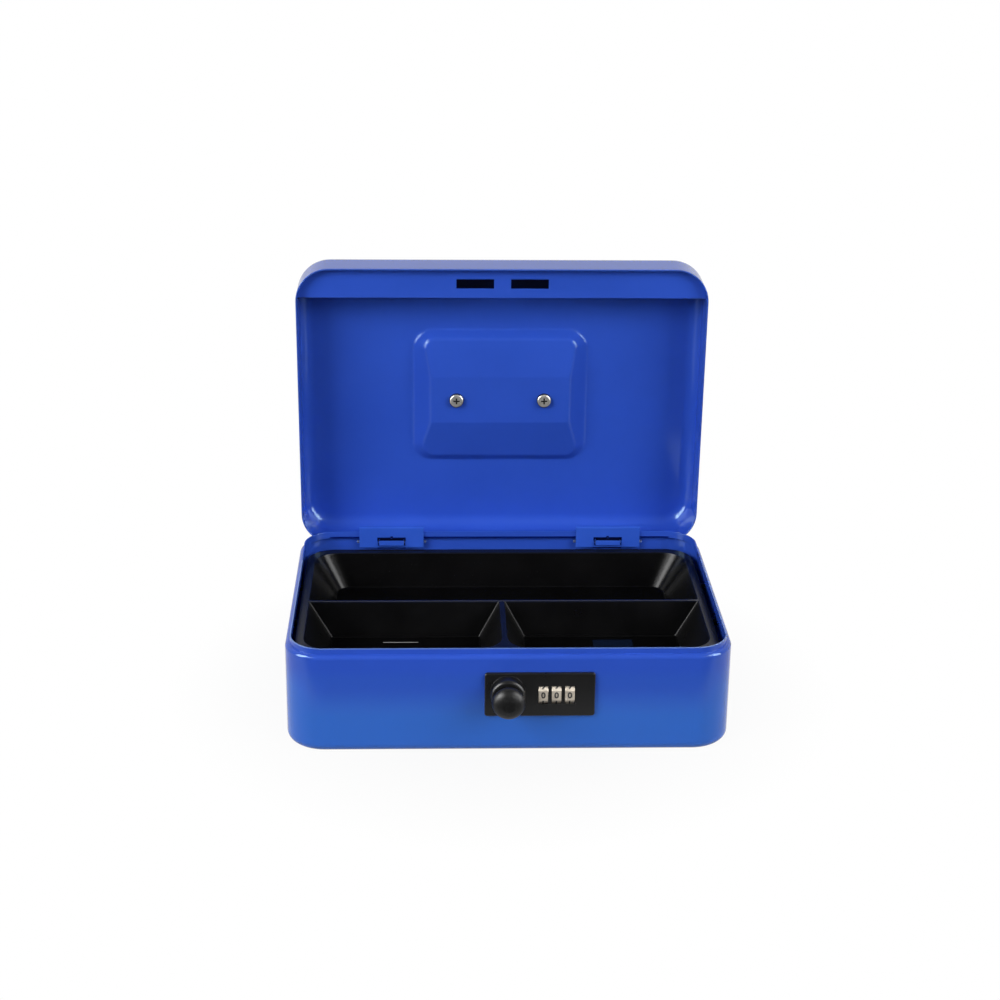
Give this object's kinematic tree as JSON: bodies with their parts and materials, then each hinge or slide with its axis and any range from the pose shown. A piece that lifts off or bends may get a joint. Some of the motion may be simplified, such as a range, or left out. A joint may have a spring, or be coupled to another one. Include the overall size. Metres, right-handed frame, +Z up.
{
  "type": "cash box",
  "caption": "Steel cash box with a hinged lid that opens on concealed hinges, a folding carry handle, a lift-out coin tray and a dial lock with a round knob.",
  "frame": {"origin": "middle of the flat underside of the base, on the surface it rests on", "axes": "+X to the right seen from the front, -Y towards the front with the lock, +Z up; rest pose has the lid open on its stop"},
  "size_m": [0.2506, 0.2306, 0.2336],
  "materials": {
    "blue_paint": "blue powder coat, slightly textured satin",
    "blue_hinge": "blue powder coat over folded steel",
    "black_casting": "black satin paint over die casting",
    "black_knob": "black satin gloss",
    "tray_black": "fine grained black moulding",
    "stud_black": "black moulded stud",
    "nickel": "nickel plate, dark engraved digits",
    "zinc_steel": "bright zinc plate",
    "spring_steel": "bare spring steel",
    "die_cast": "as-cast zinc alloy",
    "brass_part": "turned brass"
  },
  "bodies": {
    "base": {"base_shell": "blue_paint", "hinge_plate_left": "blue_hinge", "hinge_plate_right": "blue_hinge", "hinge_pin_left": "zinc_steel", "hinge_pin_right": "zinc_steel", "lock_plate": "black_casting", "lock_case": "die_cast", "lock_cover": "zinc_steel", "lock_screws": "zinc_steel", "cover_screws": "zinc_steel", "detent_spring": "spring_steel", "shaft_spring": "spring_steel", "tray_studs": "stud_black"},
    "lid": {"lid_shell": "blue_paint", "strike_plate": "blue_paint", "hinge_tab_left": "blue_hinge", "hinge_tab_right": "blue_hinge", "handle_lug_left": "black_casting", "handle_lug_right": "black_casting", "handle_screws": "zinc_steel"},
    "handle": {"handle_bail": "nickel"},
    "knob": {"knob": "black_knob", "knob_spindle": "zinc_steel", "lock_cam": "brass_part", "lock_claw": "zinc_steel", "claw_nut": "zinc_steel"},
    "shaft": {"lock_shaft": "zinc_steel"},
    "wheel_1": {"number_wheel_1": "nickel", "code_sleeve_1": "brass_part"},
    "wheel_2": {"number_wheel_2": "nickel", "code_sleeve_2": "brass_part"},
    "wheel_3": {"number_wheel_3": "nickel", "code_sleeve_3": "brass_part"},
    "tray": {"coin_tray": "tray_black"}
  },
  "joints": [
    {"name": "lid_hinge", "type": "hinge", "parent": "base", "child": "lid", "pos_m": [0, 0.087, 0.0556], "axis": [-1, 0, 0], "range_deg": [-88, 0]},
    {"name": "handle_swing", "type": "hinge", "parent": "lid", "child": "handle", "pos_m": [0, 0.11324, 0.14377], "axis": [1, 0, 0], "range_deg": [0, 180]},
    {"name": "knob_turn", "type": "hinge", "parent": "base", "child": "knob", "pos_m": [-0.0012, -0.0936, 0.0381], "axis": [0, -1, 0], "range_deg": [-90, 0]},
    {"name": "shaft_slide", "type": "slide", "parent": "base", "child": "shaft", "axis": [1, 0, 0], "range_m": [-0.00213, 0]},
    {"name": "wheel_1_spin", "type": "hinge", "parent": "base", "child": "wheel_1", "pos_m": [0.01845, -0.08415, 0.0361], "axis": [1, 0, 0], "continuous": true},
    {"name": "wheel_2_spin", "type": "hinge", "parent": "base", "child": "wheel_2", "pos_m": [0.0258, -0.08415, 0.0361], "axis": [1, 0, 0], "continuous": true},
    {"name": "wheel_3_spin", "type": "hinge", "parent": "base", "child": "wheel_3", "pos_m": [0.03315, -0.08415, 0.0361], "axis": [1, 0, 0], "continuous": true},
    {"name": "tray_lift", "type": "slide", "parent": "base", "child": "tray", "axis": [0, 0, 1], "range_m": [0, 0.06]}
  ],
  "couplings": [
    {"joint": "shaft_slide", "follows": "knob_turn", "m_per_rad": 0.00135}
  ]
}
